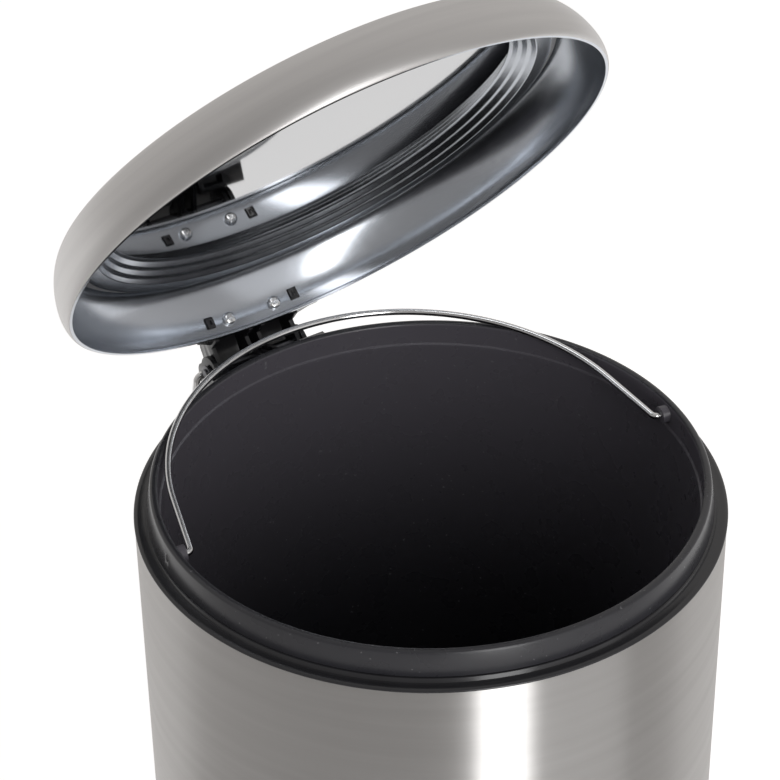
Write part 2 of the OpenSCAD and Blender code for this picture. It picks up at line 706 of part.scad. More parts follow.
module carry_handle() {
    r = handle_r;
    bend = 4;
    inner = cheek_x + 0.1;
    leg_x = cheek_x + bracket_t + 1 + bend;
    half = handle_w / 2;
    drop = handle_l - bend * 2;
    slant = atan2(half - leg_x, drop * 0.5);
    color("silver") translate([0, handle_y, handle_z]) for (s = [0, 1]) mirror([s, 0, 0]) {
        rod_x(r, inner, leg_x - bend);
        translate([leg_x - bend, 0, -bend]) rotate([90, 0, 0]) rotate_extrude(angle = 90)
            translate([bend, 0]) circle(r = r);
        translate([leg_x, 0, -bend]) sphere(r = r + weld);
        translate([leg_x, 0, -bend]) rotate([0, 180 - slant, 0])
            cylinder(r = r, h = norm([half - leg_x, drop * 0.5]));
        translate([half, 0, -bend - drop * 0.5]) sphere(r = r + weld);
        translate([half, 0, -bend - drop]) cylinder(r = r, h = drop * 0.5);
        translate([half - bend, 0, -bend - drop]) rotate([90, 0, 0]) rotate_extrude(angle = -90)
            translate([bend, 0]) circle(r = r);
        translate([0, 0, -bend * 2 - drop]) rod_x(r, -eps, half - bend);
    }
}

// A rod's flattened end with a bore for its pin
module rod_eye(y, z) {
    translate([0, y, z]) rod_x(eye_r, -eye_w / 2, eye_w / 2);
}

module push_rod() {
    color("silver") difference() {
        union() {
            translate([0, rod_y, rod_foot_z + 1]) cylinder(r = rod_r, h = rod_top_z - rod_foot_z - 2);
            rod_eye(eye_y, rod_top_z);
            rod_eye(foot_eye_y, rod_foot_z);
        }
        translate([0, eye_y, rod_top_z]) rod_x(rod_pin_d / 2 + snug, -rod_d, rod_d);
        translate([0, foot_eye_y, rod_foot_z]) rod_x(rod_pin_d / 2 + snug, -rod_d, rod_d);
    }
}

// A headed pin through a rod's eye and the two ears beside it
module eye_pin() {
    color("gainsboro") {
        rod_x(rod_pin_d / 2, -ear_out - 1.4, ear_out + 1.4);
        for (s = [-1, 1]) rod_x(rod_pin_d / 2 + 1, s * (ear_out + 0.9) - 0.5, s * (ear_out + 0.9) + 0.5);
    }
}

module rod_top_pin() {
    translate([0, eye_y, rod_top_z]) eye_pin();
}

module rod_foot_pin() {
    translate([0, foot_eye_y, rod_foot_z]) eye_pin();
}

module rod_guide() {
    z = web_z + web_t;
    color([0.85, 0.85, 0.83]) difference() {
        union() {
            translate([-guide_screw_x - 4, guide_y - 4, z]) cube([2 * guide_screw_x + 8, 9, guide_t]);
            translate([-4.5, guide_y, z]) cube([9, 9 + rod_r, 16]);
        }
        translate([0, rod_y, z - cut]) cylinder(r = rod_r + pin_gap, h = 30);
        translate([-10, shell_in_r - 0.6, z - cut]) cube([20, 10, 40]);
        for (x = [-1, 1]) translate([x * guide_screw_x, guide_y, z - cut]) cylinder(r = guide_screw_r, h = 10);
    }
}

module pedal_lever() {
    color("gray") on_lever() difference() {
        union() {
            translate([-lever_w / 2, lever_tip_y, axle_z - lever_t / 2])
                cube([lever_w, foot_eye_y - 14 - lever_tip_y, lever_t]);
            translate([-ear_out, foot_eye_y - 30, axle_z - lever_t / 2]) cube([2 * ear_out, 22, lever_t]);
            translate([0, axle_y, axle_z]) rod_x(sleeve_r, -lever_w / 2, lever_w / 2);
            translate([0, foot_eye_y, axle_z]) both_x(ear_x, ear_t) {
                circle(r = lever_ear_r);
                translate([-12, -lever_ear_r]) square([12, 2 * lever_ear_r]);
                polygon([[-30, -lever_t / 2], [-30, lever_t / 2], [-12, lever_ear_r], [-12, -lever_ear_r]]);
            }
        }
        translate([0, axle_y, axle_z]) rod_x(axle_d / 2 + pin_gap, -50, 50);
        translate([0, foot_eye_y, axle_z]) slot_x(rod_pin_d / 2 + 0.3, -0.7, 0.7, -ear_cut, ear_cut);
        rivet_holes(axle_z + 10);
    }
}

// The holes for the rivets that hold the pad on the lever, up to a height
module rivet_holes(top) {
    for (x = [-1, 1]) translate([x * rivet_x, rivet_y, 0]) cylinder(r = rivet_r + pin_gap, h = top);
}

// The pedal's plan: round at the front, hollowed to clear the base ring at the back
module pedal_plan(inset) {
    nose_r = pedal_w * 0.75;
    difference() {
        intersection() {
            translate([0, -pedal_front + nose_r + inset]) circle(r = nose_r);
            translate([-pedal_w / 2 + inset, -pedal_front]) square([pedal_w - 2 * inset, pedal_l + 12]);
        }
        circle(r = pedal_back + inset);
        for (s = [-1, 1]) translate([s * (pedal_w / 2 - inset), -pedal_front + inset])
            rotate(s * 45) square([14, 14], center = true);
    }
}

module pedal_pad() {
    color([0.1, 0.1, 0.11]) on_lever() difference() {
        translate([0, 0, pedal_low]) linear_extrude(pedal_t) pedal_plan(0);
        translate([0, 0, pedal_low + pedal_t - recess_h])
            linear_extrude(recess_h + cut) pedal_plan(recess_in);
        translate([-lever_w / 2 - 0.1, lever_tip_y - 0.1, axle_z - lever_t / 2 - 0.1])
            cube([lever_w + 0.2, 60, lever_t + 0.2]);
        rivet_holes(pedal_low + pedal_t + cut);
    }
}

module pedal_tread() {
    low = pedal_low + pedal_t - recess_h + eps;
    color([0.06, 0.06, 0.06]) on_lever() union() {
        translate([0, 0, low]) linear_extrude(tread_t) pedal_plan(recess_in + 0.4);
        intersection() {
            translate([0, 0, low]) linear_extrude(tread_t + ridge_h) pedal_plan(recess_in + 1.6);
            for (i = [0:4]) translate([-pedal_w / 2, -pedal_back - 8 - i * 4.6, low])
                cube([pedal_w, 2, tread_t + ridge_h]);
        }
    }
}

module pedal_rivets() {
    color("silver") on_lever() for (x = [-1, 1]) translate([x * rivet_x, rivet_y, pedal_low - 1.2]) {
        cylinder(r = rivet_r, h = pedal_t);
        cylinder(r = rivet_r + 1.6, h = 1.1);
    }
}

// Carries the children to each of the axle bracket's four screws
module at_axle_screws(z) {
    for (x = [-1, 1], y = [-1, 1]) translate([x * axle_screw_x, axle_y + y * axle_screw_y, z]) children();
}

module axle_bracket() {
    low = axle_z - axle_d / 2 - 4;
    flange = axle_screw_x + 6;
    half_l = axle_screw_y + 6;
    color("darkgray") difference() {
        union() {
            translate([-flange, axle_y - half_l, web_z - axle_cheek_t])
                cube([2 * flange, 2 * half_l, axle_cheek_t]);
            translate([0, axle_y, 0]) both_x(axle_cheek_x, axle_cheek_t) {
                translate([-half_l, axle_z]) square([2 * half_l, web_z - axle_z]);
                translate([0, axle_z]) circle(r = axle_z - low);
                polygon([[-half_l, axle_z], [half_l, axle_z], [5, low + 2], [-5, low + 2]]);
            }
        }
        translate([0, axle_y, axle_z]) rod_x(axle_d / 2 + snug, -60, 60);
        at_axle_screws(web_z - 10) cylinder(r = screw_d / 2 + screw_room, h = 20);
    }
}

module axle_screws() {
    color("gainsboro") at_axle_screws(web_z - axle_cheek_t - 0.05)
        rotate([180, 0, 0]) pan_screw(web_t + axle_cheek_t, head_r);
}

module pedal_axle() {
    color("silver") translate([0, axle_y, axle_z]) clip_pin(axle_d / 2, axle_half);
}

module axle_clips() {
    color("dimgray") translate([0, axle_y, axle_z]) clip_pair(axle_d / 2, axle_half);
}

body_shell();
top_collar();
base_ring();
rubber_feet();
inner_bucket();
bail_handle();
lid_shell();
lid_bracket();
lid_screws();
hinge_base();
hinge_screws();
hinge_pin();
pin_clips();
carry_handle();
push_rod();
rod_top_pin();
rod_foot_pin();
rod_guide();
pedal_lever();
pedal_pad();
pedal_tread();
pedal_rivets();
axle_bracket();
axle_screws();
pedal_axle();
axle_clips();
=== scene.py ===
from math import acos, asin, atan2, cos, degrees, hypot, pi, radians, sin, sqrt, tan

import bpy
from mathutils import Matrix, Vector


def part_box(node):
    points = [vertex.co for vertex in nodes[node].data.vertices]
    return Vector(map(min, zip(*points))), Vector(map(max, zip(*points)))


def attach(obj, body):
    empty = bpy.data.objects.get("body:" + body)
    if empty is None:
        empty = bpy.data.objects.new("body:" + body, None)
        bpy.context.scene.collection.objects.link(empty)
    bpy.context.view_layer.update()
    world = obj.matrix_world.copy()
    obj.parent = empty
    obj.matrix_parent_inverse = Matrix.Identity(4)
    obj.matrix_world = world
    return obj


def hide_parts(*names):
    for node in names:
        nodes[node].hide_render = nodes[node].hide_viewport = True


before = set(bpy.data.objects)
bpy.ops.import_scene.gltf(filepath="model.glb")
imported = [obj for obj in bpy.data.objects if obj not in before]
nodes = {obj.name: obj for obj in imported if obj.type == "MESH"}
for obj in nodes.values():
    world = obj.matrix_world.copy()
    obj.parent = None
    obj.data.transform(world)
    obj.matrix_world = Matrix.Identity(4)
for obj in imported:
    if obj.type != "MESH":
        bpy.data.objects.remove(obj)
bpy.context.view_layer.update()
MM = 0.001

# ---------------------------------------------------------------------------
# The set: a white floor that runs out behind the can, a tall soft lamp in
# front of it, a weak one to the right, and the camera.
# ---------------------------------------------------------------------------
LENS = 124.6
CAMERA_AT = (-0.6004, -0.8834, 1.4048)
CAMERA_HEADING = 33.18
CAMERA_DOWN = 34.39
CAMERA_ROLL = -0.90


def turn(axis, angle):
    return Matrix.Rotation(radians(angle), 4, axis)


camera = bpy.data.objects.new("camera", bpy.data.cameras.new("camera"))
bpy.context.scene.collection.objects.link(camera)
camera.data.lens = LENS
camera.data.sensor_width = 36
camera.data.clip_end = 50
camera.matrix_world = (Matrix.Translation(CAMERA_AT) @ turn("Z", -CAMERA_HEADING)
                       @ turn("X", 90 - CAMERA_DOWN) @ turn("Z", CAMERA_ROLL))
bpy.context.scene.camera = camera


def lamp(name, at, target, width, height, power):
    data = bpy.data.lights.new(name, "AREA")
    data.shape = "RECTANGLE"
    data.size = width
    data.size_y = height
    data.energy = power
    obj = bpy.data.objects.new(name, data)
    bpy.context.scene.collection.objects.link(obj)
    obj.location = at
    obj.rotation_euler = (Vector(target) - Vector(at)).to_track_quat("-Z", "Y").to_euler()
    return obj


lamp("front_softbox", at=(-0.30, -1.67, 1.15), target=(0, 0, 1.15),
     width=0.50, height=2.2, power=17)
lamp("right_softbox", at=(0.55, -1.60, 1.15), target=(0, 0, 1.15),
     width=0.90, height=2.2, power=2.4)


def material(name):
    """A new material: its nodes, its links and its Principled shader."""
    made = bpy.data.materials.new(name)
    made.use_nodes = True
    tree = made.node_tree
    return made, tree, tree.nodes["Principled BSDF"]


def node_in(tree, kind, links=(), **settings):
    """Adds a node, with its settings and the sockets that feed it."""
    made = tree.nodes.new("ShaderNode" + kind)
    for key, value in settings.items():
        setattr(made, key, value)
    for socket, source in links:
        if isinstance(source, bpy.types.NodeSocket):
            tree.links.new(source, made.inputs[socket])
        else:
            made.inputs[socket].default_value = source
    return made


def tint(tree, source, dark, light):
    """A colour between two, by a 0 to 1 value."""
    made = node_in(tree, "Mix", [("Factor", source), ("A", (*dark, 1)), ("B", (*light, 1))],
                   data_type="RGBA")
    return made.outputs["Result"]


def away(tree, source, start, end):
    """0 to 1 along the camera's heading, from one distance to another."""
    heading = (sin(radians(CAMERA_HEADING)), cos(radians(CAMERA_HEADING)), 0)
    along = node_in(tree, "VectorMath", [(0, source), (1, heading)], operation="DOT_PRODUCT")
    ramp = node_in(tree, "MapRange",
                   [("Value", along.outputs["Value"]), ("From Min", start), ("From Max", end)],
                   interpolation_type="SMOOTHSTEP")
    return ramp.outputs["Result"]


world = bpy.data.worlds.new("studio")
world.use_nodes = True
sky = world.node_tree
direction = node_in(sky, "TexCoord").outputs["Generated"]
walls = tint(sky, away(sky, direction, -1.0, 0.9), (0.34, 0.33, 0.325), (0.68, 0.66, 0.645))
sky.links.new(walls, sky.nodes["Background"].inputs["Color"])
bpy.context.scene.world = world
bpy.context.scene.view_settings.view_transform = "Standard"

bpy.ops.object.select_all(action="DESELECT")
bpy.ops.mesh.primitive_plane_add(size=9, location=(0, 0, 0))
floor = bpy.context.object
floor.name = "floor"
paper, tree, shader = material("white_paper")
shader.inputs["Base Color"].default_value = (0.9, 0.9, 0.9, 1)
shader.inputs["Roughness"].default_value = 0.9
shader.inputs["Specular IOR Level"].default_value = 0.1
# Painted light: the floor glows, more the further it lies behind the can, and is left darker in
# front.
painted_glow = away(tree, node_in(tree, "TexCoord").outputs["Object"], -0.3, 0.45)
tree.links.new(tint(tree, painted_glow, (0, 0, 0), (1, 1, 1)), shader.inputs["Emission Color"])
shader.inputs["Emission Strength"].default_value = 0.56
floor.data.materials.append(paper)

# ---------------------------------------------------------------------------
# The steel body: a rolled and welded tube of thin stainless sheet, brushed
# round its girth. Its top edge stands in the collar and its foot in the base.
# ---------------------------------------------------------------------------
body_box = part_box("body_shell")
BODY_R = body_box[1].x / MM
BODY_TOP = body_box[1].z / MM
BODY_FOOT = body_box[0].z / MM
CAN_H = 610.0
SHEET = 0.6
ROUND = 256


def nothing_picked():
    if bpy.context.mode != "OBJECT":
        bpy.ops.object.mode_set(mode="OBJECT")
    bpy.ops.object.select_all(action="DESELECT")


def use(obj):
    nothing_picked()
    bpy.context.view_layer.objects.active = obj
    obj.select_set(True)
    return obj


def wire(name, points):
    """A wire through points (x, z) in mm, drawn by extruding one vertex, and left in edit mode."""
    nothing_picked()
    bpy.ops.mesh.primitive_plane_add(size=MM, location=(points[0][0] * MM, 0, points[0][1] * MM))
    obj = bpy.context.object
    obj.name = name
    bpy.ops.object.transform_apply(location=True, rotation=True, scale=True)
    bpy.ops.object.mode_set(mode="EDIT")
    bpy.ops.mesh.merge(type="CENTER")
    for a, b in zip(points, points[1:]):
        step = ((b[0] - a[0]) * MM, 0, (b[1] - a[1]) * MM)
        bpy.ops.mesh.extrude_vertices_move(TRANSFORM_OT_translate={"value": step})
    return obj


def close_mesh():
    bpy.ops.mesh.select_all(action="SELECT")
    bpy.ops.mesh.remove_doubles(threshold=0.005 * MM)
    bpy.ops.mesh.normals_make_consistent(inside=False)
    bpy.ops.object.mode_set(mode="OBJECT")


def turned(name, points, steps=ROUND):
    """A closed outline of (radius, height) in mm, spun round the upright axis."""
    obj = wire(name, points + points[:1])
    bpy.ops.mesh.select_all(action="SELECT")
    bpy.ops.mesh.spin(steps=steps, angle=2 * pi, center=(0, 0, 0), axis=(0, 0, 1))
    close_mesh()
    return obj


def apply(obj, modifier):
    use(obj)
    bpy.ops.object.modifier_apply(modifier=modifier.name)


def soften(obj, width, segments=2, angle=35):
    """Rounds the edges of a finished shape, and smooths its faces."""
    edge = obj.modifiers.new("edge", "BEVEL")
    edge.width = width * MM
    edge.segments = segments
    edge.limit_method = "ANGLE"
    edge.angle_limit = radians(angle)
    edge.harden_normals = False
    apply(obj, edge)
    bpy.ops.object.shade_smooth_by_angle(angle=radians(angle))
    return obj


def block(name, low, high):
    """A box between two corners in mm."""
    nothing_picked()
    low, high = Vector(low) * MM, Vector(high) * MM
    bpy.ops.mesh.primitive_cube_add(size=1, location=(low + high) / 2)
    obj = bpy.context.object
    obj.name = name
    obj.scale = high - low
    bpy.ops.object.transform_apply(location=True, rotation=True, scale=True)
    return obj


def round_bar(name, start, end, radius, sides=32):
    """A round bar between two points in mm."""
    nothing_picked()
    start, end = Vector(start) * MM, Vector(end) * MM
    bpy.ops.mesh.primitive_cylinder_add(vertices=sides, radius=radius * MM,
                                        depth=(end - start).length, location=(start + end) / 2)
    obj = bpy.context.object
    obj.name = name
    obj.rotation_euler = (end - start).to_track_quat("Z", "Y").to_euler()
    bpy.ops.object.transform_apply(location=True, rotation=True, scale=True)
    return obj


def combine(obj, tools, operation):
    """Cuts the tools out of a shape, or adds them to it, and throws the tools away."""
    for tool in tools:
        step = obj.modifiers.new("step", "BOOLEAN")
        step.operation = operation
        step.solver = "EXACT"
        step.object = tool
        apply(obj, step)
        bpy.data.objects.remove(tool)
    return obj


def group(name, inputs, outputs):
    """A new shader group with float inputs (name, value), one vector input and its outputs."""
    tree = bpy.data.node_groups.new(name, "ShaderNodeTree")
    tree.interface.new_socket("Vector", in_out="INPUT", socket_type="NodeSocketVector")
    for label, value in inputs:
        made = tree.interface.new_socket(label, in_out="INPUT", socket_type="NodeSocketFloat")
        made.default_value = value
    for label in outputs:
        tree.interface.new_socket(label, in_out="OUTPUT", socket_type="NodeSocketFloat")
    return tree, tree.nodes.new("NodeGroupInput"), tree.nodes.new("NodeGroupOutput")


def brushed_grain():
    """Fine lines that run round an upright axis, and a slow change of tone between them."""
    tree, into, out = group("brushed_grain", [("Fineness", 4000.0), ("Length", 6.0)],
                            ["Lines", "Tone"])
    parts = node_in(tree, "SeparateXYZ", [(0, into.outputs["Vector"])])
    minus = node_in(tree, "Math", [(0, parts.outputs["Y"]), (1, -1.0)], operation="MULTIPLY")
    angle = node_in(tree, "Math", [(0, parts.outputs["X"]), (1, minus.outputs[0])],
                    operation="ARCTAN2")
    flat = node_in(tree, "CombineXYZ", [("X", parts.outputs["X"]), ("Y", parts.outputs["Y"])])
    radius = node_in(tree, "VectorMath", [(0, flat.outputs[0])], operation="LENGTH")
    across = node_in(tree, "Math", [(0, radius.outputs["Value"]), (1, parts.outputs["Z"])],
                     operation="SUBTRACT")
    along = node_in(tree, "Math", [(0, angle.outputs[0]), (1, into.outputs["Length"])],
                    operation="MULTIPLY")
    fine = node_in(tree, "Math", [(0, across.outputs[0]), (1, into.outputs["Fineness"])],
                   operation="MULTIPLY")
    place = node_in(tree, "CombineXYZ", [("X", along.outputs[0]), ("Y", fine.outputs[0])])
    lines = node_in(tree, "TexNoise",
                    [("Vector", place.outputs[0]), ("Scale", 1.0), ("Detail", 3.0)],
                    noise_dimensions="2D")
    slow = node_in(tree, "Math", [(0, fine.outputs[0]), (1, 0.04)], operation="MULTIPLY")
    wide = node_in(tree, "CombineXYZ", [("X", angle.outputs[0]), ("Y", slow.outputs[0])])
    tone = node_in(tree, "TexNoise", [("Vector", wide.outputs[0]), ("Scale", 1.0), ("Detail", 4.0)],
                   noise_dimensions="2D")
    tree.links.new(lines.outputs[0], out.inputs["Lines"])
    tree.links.new(tone.outputs[0], out.inputs["Tone"])
    return tree


GRAIN = brushed_grain()


def place_group(tree, shared, vector, **values):
    made = tree.nodes.new("ShaderNodeGroup")
    made.node_tree = shared
    tree.links.new(vector, made.inputs["Vector"])
    for label, value in values.items():
        made.inputs[label].default_value = value
    return made


def between(tree, source, low, high):
    """Spreads a 0 to 1 value over a range."""
    made = node_in(tree, "MapRange", [("Value", source), ("To Min", low), ("To Max", high)])
    return made.outputs["Result"]


def brushed_steel(name, dark, light, rough, spread, bump, vector_of=None, fineness=4000.0,
                  length=6.0):
    made, tree, shader = material(name)
    where = node_in(tree, "TexCoord").outputs["Object"]
    if vector_of:
        where = vector_of(tree, where)
    grain = place_group(tree, GRAIN, where, Fineness=fineness, Length=length)
    tree.links.new(tint(tree, grain.outputs["Tone"], dark, light), shader.inputs["Base Color"])
    tree.links.new(between(tree, grain.outputs["Lines"], rough - spread, rough + spread),
                   shader.inputs["Roughness"])
    relief = node_in(tree, "Bump",
                     [("Height", grain.outputs["Lines"]), ("Strength", bump), ("Distance", 0.00002)])
    tree.links.new(relief.outputs[0], shader.inputs["Normal"])
    shader.inputs["Metallic"].default_value = 1.0
    return made, tree, shader


body = turned("steel_body", [(BODY_R, BODY_FOOT), (BODY_R, BODY_TOP), (BODY_R - SHEET, BODY_TOP),
                             (BODY_R - SHEET, BODY_FOOT)])
WINDOW_W = 17.6
WINDOW_Z = 575.4
SCREW_X = 19.0
SCREW_Z = 573.4
window = block("window", (-WINDOW_W / 2, BODY_R - 15, WINDOW_Z), (WINDOW_W / 2, BODY_R + 15, CAN_H))
holes = [round_bar("hole", (s * SCREW_X, BODY_R - 12, SCREW_Z),
                   (s * SCREW_X, BODY_R + 12, SCREW_Z), 2.1) for s in (-1, 1)]
combine(body, [window] + holes, "DIFFERENCE")
soften(body, 0.12, segments=1, angle=50)
body_steel, tree, shader = brushed_steel("body_steel", (0.52, 0.51, 0.50), (0.60, 0.59, 0.58),
                                         0.40, 0.04, 0.2)
shader.inputs["Anisotropic"].default_value = 1.0
shader.inputs["Anisotropic Rotation"].default_value = 0.25
around = node_in(tree, "Tangent", direction_type="RADIAL", axis="Z")
tree.links.new(around.outputs[0], shader.inputs["Tangent"])
body.data.materials.clear()
body.data.materials.append(body_steel)
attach(body, "can")
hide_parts("body_shell")

# ---------------------------------------------------------------------------
# The collar: a glossy black moulding pressed on the steel's top edge. It has
# a flat ring, a raised seat for the bucket, and a boss for the hinge behind.
# ---------------------------------------------------------------------------
COLLAR_R = BODY_R + 0.3
EDGE_H = 1.4
EDGE_ROUND = 2.5
EDGE_FALL = 1.1
SEAT_UP = 2.2
RIB_UP = 6
PLUG_DOWN = 14
FLAT_IN = COLLAR_R - 5.4
SEAT_R = FLAT_IN - 0.7
RIB_R = SEAT_R - 3
PLUG_R = BODY_R - SHEET - 0.2
BOSS_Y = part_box("top_collar")[1].y / MM


def moulded_texture():
    """The very fine grain of a mould, with a slow waviness under it."""
    tree, into, out = group("moulded_texture", [("Grain", 3000.0)], ["Fine", "Slow"])
    fine = node_in(tree, "TexNoise", [("Vector", into.outputs["Vector"]),
                                      ("Scale", into.outputs["Grain"]), ("Detail", 2.0)])
    slow = node_in(tree, "TexNoise", [("Vector", into.outputs["Vector"]), ("Scale", 60.0),
                                      ("Detail", 3.0)])
    tree.links.new(fine.outputs[0], out.inputs["Fine"])
    tree.links.new(slow.outputs[0], out.inputs["Slow"])
    return tree


MOULDED = moulded_texture()


def moulded(name, dark, light, rough, spread, bump, grain=3000.0, specular=0.5):
    made, tree, shader = material(name)
    where = node_in(tree, "TexCoord").outputs["Object"]
    skin = place_group(tree, MOULDED, where, Grain=grain)
    tree.links.new(tint(tree, skin.outputs["Slow"], dark, light), shader.inputs["Base Color"])
    tree.links.new(between(tree, skin.outputs["Slow"], rough - spread, rough + spread),
                   shader.inputs["Roughness"])
    relief = node_in(tree, "Bump",
                     [("Height", skin.outputs["Fine"]), ("Strength", bump), ("Distance", 0.00003)])
    tree.links.new(relief.outputs[0], shader.inputs["Normal"])
    shader.inputs["Specular IOR Level"].default_value = specular
    return made


black_plastic = moulded("black_plastic", (0.014, 0.014, 0.016), (0.022, 0.022, 0.025),
                        0.20, 0.05, 0.12)
collar = turned("collar", [(COLLAR_R - EDGE_ROUND * (1 - cos(radians(a))),
                            CAN_H - EDGE_FALL * (1 - sin(radians(a)))) for a in range(0, 91, 10)] + [
    (FLAT_IN, CAN_H), (SEAT_R + 0.3, CAN_H + SEAT_UP), (RIB_R, CAN_H + SEAT_UP),
    (RIB_R, CAN_H + RIB_UP), (RIB_R - 1.2, CAN_H + RIB_UP), (RIB_R - 1.2, CAN_H - PLUG_DOWN),
    (RIB_R + 0.4, CAN_H - PLUG_DOWN), (RIB_R + 0.4, CAN_H - 3), (PLUG_R - 1.5, CAN_H - 3),
    (PLUG_R - 1.5, CAN_H - PLUG_DOWN), (PLUG_R, CAN_H - PLUG_DOWN), (PLUG_R, CAN_H - EDGE_H),
    (COLLAR_R, CAN_H - EDGE_H)])
boss = block("boss", (-36.5, 110, CAN_H - 9), (36.5, BOSS_Y, CAN_H))
combine(boss, [
    round_bar("inside", (0, 0, CAN_H - 12), (0, 0, CAN_H + 4), COLLAR_R - 1.5, sides=ROUND),
    round_bar("steel", (0, 0, CAN_H - 12), (0, 0, CAN_H - EDGE_H), BODY_R + 0.2, sides=ROUND)],
    "DIFFERENCE")
combine(collar, [boss], "UNION")
cuts = [block("gap", (-WINDOW_W / 2, RIB_R - 15, CAN_H - 16),
              (WINDOW_W / 2, RIB_R + 45, CAN_H + 10))]
cuts += [block("pocket", (s * (WINDOW_W / 2 + 9) - 6, BODY_R + 2.5, CAN_H - 7.5),
               (s * (WINDOW_W / 2 + 9) + 6, BOSS_Y - 2.5, CAN_H + 2)) for s in (-1, 1)]
combine(collar, cuts, "DIFFERENCE")
soften(collar, 0.4)
collar.data.materials.clear()
collar.data.materials.append(black_plastic)
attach(collar, "can")
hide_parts("top_collar")

# ---------------------------------------------------------------------------
# The base ring: a black moulding that the steel body stands in. Its floor web
# carries the pedal's axle, and ribs stiffen it from below.
# ---------------------------------------------------------------------------
BASE_H = 38.0
FOOT_H = 3.0
WEB_Z = BASE_H + 4
WEB_T = 2.5
BASE_R = BODY_R + 2.8
FOOT_RING = BODY_R - 12
FEET_AT = (45, 135, 225, 315)
BRACKET_SCREWS = [(x, y) for x in (-21.5, 21.5) for y in (-37, -23)]
LEVER_W = 22.0
IN_R = BODY_R - SHEET - 0.2
UP_R = IN_R - 2.4
SEAT_Z = BASE_H - 6.7
base = turned("base_ring", [
    (0, WEB_Z), (UP_R - 2, WEB_Z), (UP_R, WEB_Z - 2), (UP_R, SEAT_Z - 4),
    (BODY_R - SHEET, SEAT_Z - 6),
    (BODY_R, FOOT_H), (BASE_R - 0.8, FOOT_H), (BASE_R, FOOT_H + 2), (BASE_R - 0.6, BASE_H - 0.8),
    (BASE_R - 1.2, BASE_H), (BODY_R + 0.2, BASE_H), (BODY_R + 0.2, SEAT_Z), (IN_R, SEAT_Z),
    (IN_R, WEB_Z + WEB_T + 4), (UP_R, WEB_Z + WEB_T + 4), (UP_R, WEB_Z + WEB_T),
    (0, WEB_Z + WEB_T)], steps=192)
stiffening = []
for angle in (0, 30, 150, 180, 210, 330):
    rib = block("rib", (50, -1, WEB_Z - 10), (UP_R + 1, 1, WEB_Z + 0.5))
    rib.data.transform(turn("Z", angle))
    stiffening.append(rib)
for angle in FEET_AT:
    socket = round_bar("socket", (FOOT_RING, 0, FOOT_H), (FOOT_RING, 0, FOOT_H + 12), 8.0, sides=64)
    fin = block("fin", (FOOT_RING, -2, FOOT_H + 1), (BODY_R + 0.6, 2, FOOT_H + 12))
    for part in (socket, fin):
        part.data.transform(turn("Z", angle))
        stiffening.append(part)
combine(base, stiffening, "UNION")
cuts = [block("lever_slot", (-LEVER_W / 2 - 4, -BASE_R - 2, FOOT_H + 5),
              (LEVER_W / 2 + 4, -BASE_R + 28, WEB_Z - 8)),
        block("rod_slot", (-7.8, 132.5, FOOT_H + 15), (7.8, IN_R - 0.05, FOOT_H + 75))]
for angle in FEET_AT:
    peg = round_bar("peg_hole", (FOOT_RING, 0, FOOT_H - 2), (FOOT_RING, 0, FOOT_H + 9), 3.3)
    peg.data.transform(turn("Z", angle))
    cuts.append(peg)
for x, y in BRACKET_SCREWS:
    cuts.append(round_bar("screw_hole", (x, y, WEB_Z - 2), (x, y, WEB_Z + WEB_T + 2), 2.1))
combine(base, cuts, "DIFFERENCE")
soften(base, 0.3)
base.data.materials.clear()
base.data.materials.append(black_plastic)
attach(base, "can")
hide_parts("base_ring")

# ---------------------------------------------------------------------------
# The four feet: soft rubber buttons with a peg, pushed into sockets under the
# base ring.
# ---------------------------------------------------------------------------
rubber = moulded("rubber", (0.010, 0.010, 0.010), (0.016, 0.016, 0.016), 0.72, 0.08, 0.5, 1800.0,
                 specular=0.3)


def join(objects, name):
    """Makes one object of several."""
    use(objects[0])
    for obj in objects[1:]:
        obj.select_set(True)
    bpy.ops.object.join()
    objects[0].name = name
    return objects[0]


def copies(obj, places):
    """A copy of a piece, with its own mesh, at each of several places. The piece itself goes."""
    made = []
    for place in places:
        twin = bpy.data.objects.new(obj.name, obj.data.copy())
        bpy.context.scene.collection.objects.link(twin)
        twin.data.transform(place)
        made.append(twin)
    bpy.data.objects.remove(obj)
    return made


def finish(obj, surface, body_name, node):
    """Gives a piece its one material and its place in the part."""
    obj.data.materials.clear()
    obj.data.materials.append(surface)
    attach(obj, body_name)
    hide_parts(node)


foot = turned("foot", [(0, 0), (5.9, 0), (6.5, 0.6), (6.5, 2.9), (3.25, 2.9), (3.25, 10),
                       (2.45, 11), (0, 11)], steps=48)
soften(foot, 0.25)
feet = join(copies(foot, [turn("Z", a) @ Matrix.Translation(Vector((FOOT_RING, 0, 0)) * MM)
                          for a in FEET_AT]), "rubber_feet")
finish(feet, rubber, "can", "rubber_feet")

# ---------------------------------------------------------------------------
# The axle bracket under the base's web: a bent steel channel held by four
# screws, with the pedal's axle through it and an open clip on each end.
# ---------------------------------------------------------------------------


def metal(name, dark, light, rough, spread, bump=0.15, scale=900.0):
    """Plated or drawn steel: a fine grain in its gloss and a slow change of tone."""
    made, tree, shader = material(name)
    where = node_in(tree, "TexCoord").outputs["Object"]
    skin = place_group(tree, MOULDED, where, Grain=scale)
    tree.links.new(tint(tree, skin.outputs["Slow"], dark, light), shader.inputs["Base Color"])
    tree.links.new(between(tree, skin.outputs["Fine"], rough - spread, rough + spread),
                   shader.inputs["Roughness"])
    relief = node_in(tree, "Bump",
                     [("Height", skin.outputs["Fine"]), ("Strength", bump), ("Distance", 0.00002)])
    tree.links.new(relief.outputs[0], shader.inputs["Normal"])
    shader.inputs["Metallic"].default_value = 1.0
    return made


